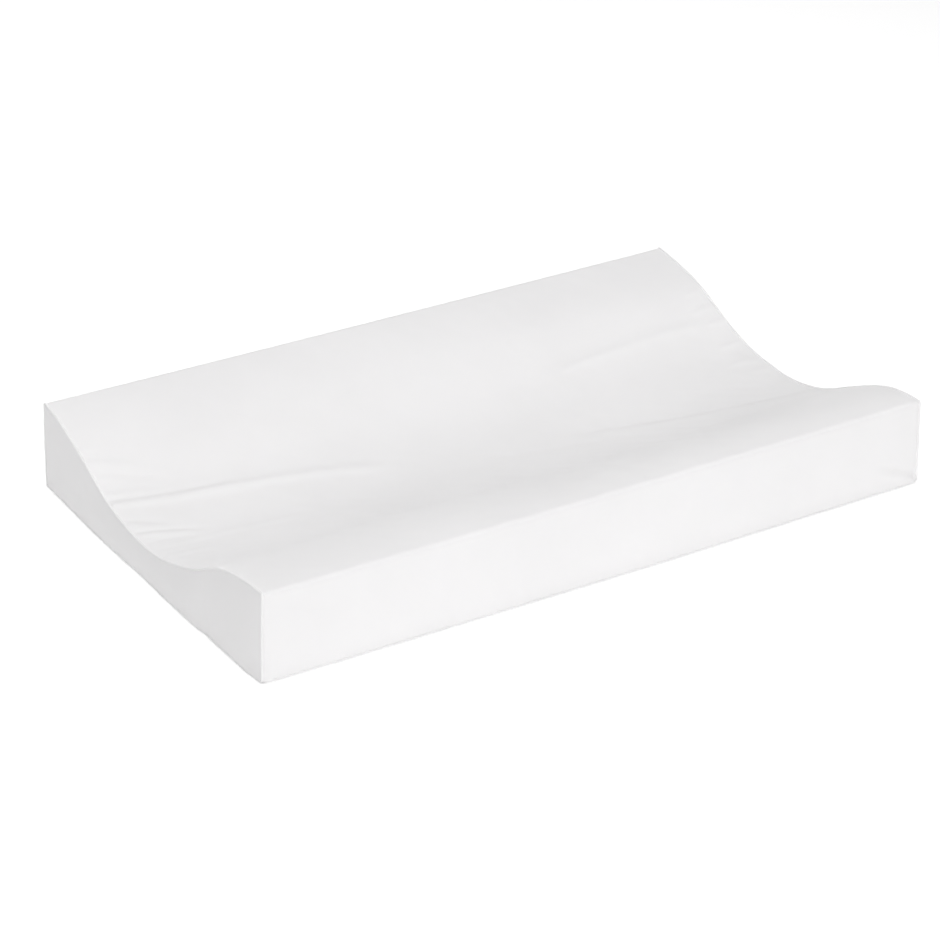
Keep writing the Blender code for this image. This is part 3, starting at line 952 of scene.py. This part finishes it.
def prism(name, outline, low, high, place):
    """A solid: an outline (a, b) raised from low to high, where place gives each point."""
    bm = bmesh.new()
    rings = [[bm.verts.new(place(a, b, level)) for a, b in outline] for level in (low, high)]
    join_rings(bm, *rings)
    bm.faces.new(rings[0][::-1])
    bm.faces.new(rings[1])
    return linked(name, mesh_of(bm, name))


def combine(obj, operation, other):
    """Adds the other solid to obj, or cuts it out, by a modifier."""
    change = obj.modifiers.new(operation.lower(), "BOOLEAN")
    change.operation = operation
    change.solver = "EXACT"
    change.object = other


def metal_piece(name, solids, bevel):
    """Joins solids into one bevelled metal piece. A solid is (outline, low, high, place)."""
    whole, *others = [prism(f"{name}_{i}", *solid) for i, solid in enumerate(solids)]
    whole.name = name
    for other in others:
        combine(whole, "UNION", other)
    edges = whole.modifiers.new("edges", "BEVEL")
    edges.width = bevel
    edges.segments = 3
    edges.limit_method = "ANGLE"
    edges.angle_limit = math.radians(35)
    freeze(whole)
    for other in others:
        bpy.data.objects.remove(other)
    whole.data.shade_smooth()
    return whole


def freeze(obj):
    """Makes the modifiers' result the object's own mesh."""
    shown = obj.evaluated_get(bpy.context.evaluated_depsgraph_get())
    mesh = bpy.data.meshes.new_from_object(shown)
    obj.modifiers.clear()
    obj.data = mesh


def make_slider():
    low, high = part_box("zip_slider")
    x = (low.x + high.x) / 2
    half = (high.x - low.x) / 2
    wide = (high.z - low.z) / 2
    narrow = 0.80 * wide
    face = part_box("zip_pull")[0].y - ZIP_GAP
    wall = SLIDER_WALL
    tape_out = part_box("zip_tape_upper")[1].y

    def shield(inset=0.0):
        half_x = half - inset
        side = [(-1.0, 0.62), (-0.92, 0.86), (-0.70, 1.0), (-0.1, 1.0), (0.25, 1.10),
                (0.62, 1.25), (0.86, 1.18), (1.0, 0.85)]
        upper = [(a * half_x, b * (narrow - inset)) for a, b in side]
        return upper + [(a, -b) for a, b in reversed(upper)]

    def flat(a, b, level):
        return (x + a, level, ZIP_Z + b)

    def along(a, b, level):
        return (x + a, b, ZIP_Z + level)

    outer = (shield(), face - wall, face, flat)
    inner = (shield(0.0002), low.y, low.y + wall * 0.9, flat)
    solids = [outer, inner]
    for side in (1, -1):
        rail = [(-0.96 * half, side * 0.72 * narrow), (-0.85 * half, side * 0.97 * narrow),
                (0.10 * half, side * 0.97 * narrow), (0.10 * half, side * 0.74 * narrow),
                (-0.80 * half, side * 0.74 * narrow)]
        solids.append((rail, tape_out + 0.0003, face - wall / 2, flat))
    post = [(0.20 * half, -0.0002), (0.55 * half, -0.0011), (0.93 * half, -0.0012),
            (0.93 * half, 0.0012), (0.55 * half, 0.0011), (0.20 * half, 0.0002)]
    solids.append((post, low.y + wall / 2, face - wall / 2, flat))
    foot = 0.0040
    arch = [(-foot, face - wall / 2), (-foot, high.y - wall), (-foot + 0.0010, high.y - 0.0002),
            (-foot + 0.0022, high.y), (foot - 0.0022, high.y), (foot - 0.0010, high.y - 0.0002),
            (foot, high.y - wall), (foot, face - wall / 2), (foot - wall, face - wall / 2),
            (foot - wall, high.y - 1.25 * wall), (foot - 1.8 * wall, high.y - wall),
            (-foot + 1.8 * wall, high.y - wall), (-foot + wall, high.y - 1.25 * wall),
            (-foot + wall, face - wall / 2)]
    solids.append((arch, -0.0008, 0.0008, along))
    slider = metal_piece("slider_body", solids, bevel=0.00022)
    dress(slider, MATERIALS["metal"], "slider", "zip_metal", "zip_slider")


def rounded(points, radius, steps=5):
    """The outline with every corner rounded off."""
    result = []
    count = len(points)
    for i, point in enumerate(points):
        here = Vector(point)
        before = Vector(points[i - 1])
        after = Vector(points[(i + 1) % count])
        reach = min(radius, (before - here).length / 2.05, (after - here).length / 2.05)
        first = here + (before - here).normalized() * reach
        last = here + (after - here).normalized() * reach
        for k in range(steps + 1):
            t = k / steps
            bend = first * (1 - t) ** 2 + here * 2 * t * (1 - t) + last * t ** 2
            result.append((bend.x, bend.y))
    return result


def make_pull():
    low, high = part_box("zip_pull")
    root = high.x
    tip = low.x
    half = (high.z - low.z) / 2
    neck = 0.72 * half

    def flat(a, b, level):
        return (a, level, ZIP_Z + b)

    side = [(root, neck), (root - 0.0080, neck), (root - 0.0115, half), (tip + 0.006, half),
            (tip + 0.0012, 0.62 * half), (tip, 0.2 * half)]
    outline = rounded(side + [(a, -b) for a, b in reversed(side)], 0.0018)
    solids = [(outline, low.y, high.y, flat)]
    pull = metal_piece("pull_tab", solids, bevel=0.00028)
    window = rounded([(root - 0.0012, 0.0016), (root - 0.0074, 0.0016),
                      (root - 0.0074, -0.0016), (root - 0.0012, -0.0016)], 0.0009)
    recess = rounded([(root - 0.0125, 0.55 * half), (tip + 0.0030, 0.55 * half),
                      (tip + 0.0030, -0.55 * half), (root - 0.0125, -0.55 * half)], 0.0016)
    below = low.y - 0.001
    above = high.y + 0.001
    cuts = [(window, below, above), (recess, high.y - RECESS_DEPTH, above),
            (recess, below, low.y + RECESS_DEPTH)]
    cutters = [prism(f"cut_{i}", *cut, flat) for i, cut in enumerate(cuts)]
    for cutter in cutters:
        combine(pull, "DIFFERENCE", cutter)
    freeze(pull)
    for cutter in cutters:
        bpy.data.objects.remove(cutter)
    pull.data.shade_smooth()
    sharp_edges(pull, 40)
    dress(pull, MATERIALS["metal"], "pull", "zip_metal", "zip_pull")


def sharp_edges(obj, angle):
    """Keeps edges crisp where the faces turn by more than angle, in degrees."""
    bm = bmesh.new()
    bm.from_mesh(obj.data)
    for edge in bm.edges:
        if len(edge.link_faces) == 2 and edge.calc_face_angle(0.0) > math.radians(angle):
            edge.smooth = False
    bm.to_mesh(obj.data)
    bm.free()


def make_zip():
    for label, side in (("upper", 1), ("lower", -1)):
        make_tape(label, side)
        make_coil(label, side)
        make_stitches(label)
    make_slider()
    make_pull()


# ------------ studio

CAMERA_AZIMUTH = -31.74
CAMERA_ELEVATION = 27.23
CAMERA_DISTANCE = 2.981
CAMERA_LENS = 120.4
CAMERA_TARGET = Vector((-0.0455, -0.0508, 0.0500))


def towards(azimuth, elevation):
    """The direction from the pad at these angles, in degrees. Azimuth 0 is the front."""
    around = math.radians(azimuth)
    up = math.radians(elevation)
    flat = math.cos(up)
    return Vector((math.sin(around) * flat, -math.cos(around) * flat, math.sin(up)))


def make_camera():
    data = bpy.data.cameras.new("camera")
    data.lens = CAMERA_LENS
    data.sensor_width = 36.0
    data.clip_start = 0.05
    camera = linked("camera", data)
    back = towards(CAMERA_AZIMUTH, CAMERA_ELEVATION)
    camera.location = CAMERA_TARGET + back * CAMERA_DISTANCE
    camera.rotation_euler = (-back).to_track_quat("-Z", "Y").to_euler()
    bpy.context.scene.camera = camera


# Softboxes around the pad: azimuth, elevation and power
LIGHT_DISTANCE = 3.2
LIGHT_SIZE = 1.6
SOFTBOXES = (
    ("front", 0, 35, 33.9),
    ("front_low", -30, 12, 12.2),
    ("left_high", -90, 62, 31.6),
    ("right_high", 90, 62, 27.7),
    ("rear_high", 180, 62, 14.0),
    ("rear_low", 180, 12, 21.1),
)
SKY_STRENGTH = 0.116
FLOOR_REACH = 14.0
GLOW_FROM = 2.5             # the floor shines like a lit backdrop beyond this distance
GLOW_TO = 6.5
GLOW_NEAR = 0.28            # emission strength near the pad
GLOW_FAR = 0.90             # and far from it


def make_floor():
    mesh = bpy.data.meshes.new("floor")
    r = FLOOR_REACH
    mesh.from_pydata([(-r, -r, 0), (r, -r, 0), (r, r, 0), (-r, r, 0)], [], [(0, 1, 2, 3)])
    floor = linked("floor", mesh)
    floor.location.z = -0.0002
    mat = plain_material("pale_floor", (0.93, 0.93, 0.93), 0.9)
    nodes, links = mat.node_tree.nodes, mat.node_tree.links
    shader = nodes["Principled BSDF"]
    shader.inputs["Emission Color"].default_value = (1.0, 1.0, 1.0, 1.0)
    shader.inputs["Specular IOR Level"].default_value = 0.0
    distance = nodes.new("ShaderNodeVectorMath")
    distance.operation = "LENGTH"
    links.new(nodes.new("ShaderNodeNewGeometry").outputs["Position"], distance.inputs[0])
    glow = nodes.new("ShaderNodeMapRange")
    glow.inputs["From Min"].default_value = GLOW_FROM
    glow.inputs["From Max"].default_value = GLOW_TO
    glow.inputs["To Min"].default_value = GLOW_NEAR
    glow.inputs["To Max"].default_value = GLOW_FAR
    links.new(distance.outputs["Value"], glow.inputs["Value"])
    links.new(glow.outputs["Result"], shader.inputs["Emission Strength"])
    mesh.materials.append(mat)


def make_studio():
    scene = bpy.context.scene
    scene.view_settings.view_transform = "Standard"
    world = bpy.data.worlds.new("studio")
    world.use_nodes = True
    sky = world.node_tree.nodes["Background"]
    sky.inputs["Color"].default_value = (1.0, 1.0, 1.0, 1.0)
    sky.inputs["Strength"].default_value = SKY_STRENGTH
    scene.world = world
    make_floor()
    for name, azimuth, elevation, power in SOFTBOXES:
        out = towards(azimuth, elevation)
        data = bpy.data.lights.new(name, "AREA")
        data.shape = "SQUARE"
        data.size = LIGHT_SIZE
        data.energy = power
        light = linked(name, data)
        light.location = out * LIGHT_DISTANCE
        light.rotation_euler = (-out).to_track_quat("-Z", "Y").to_euler()


make_cover()
make_foam()
make_zip()
make_studio()
make_camera()
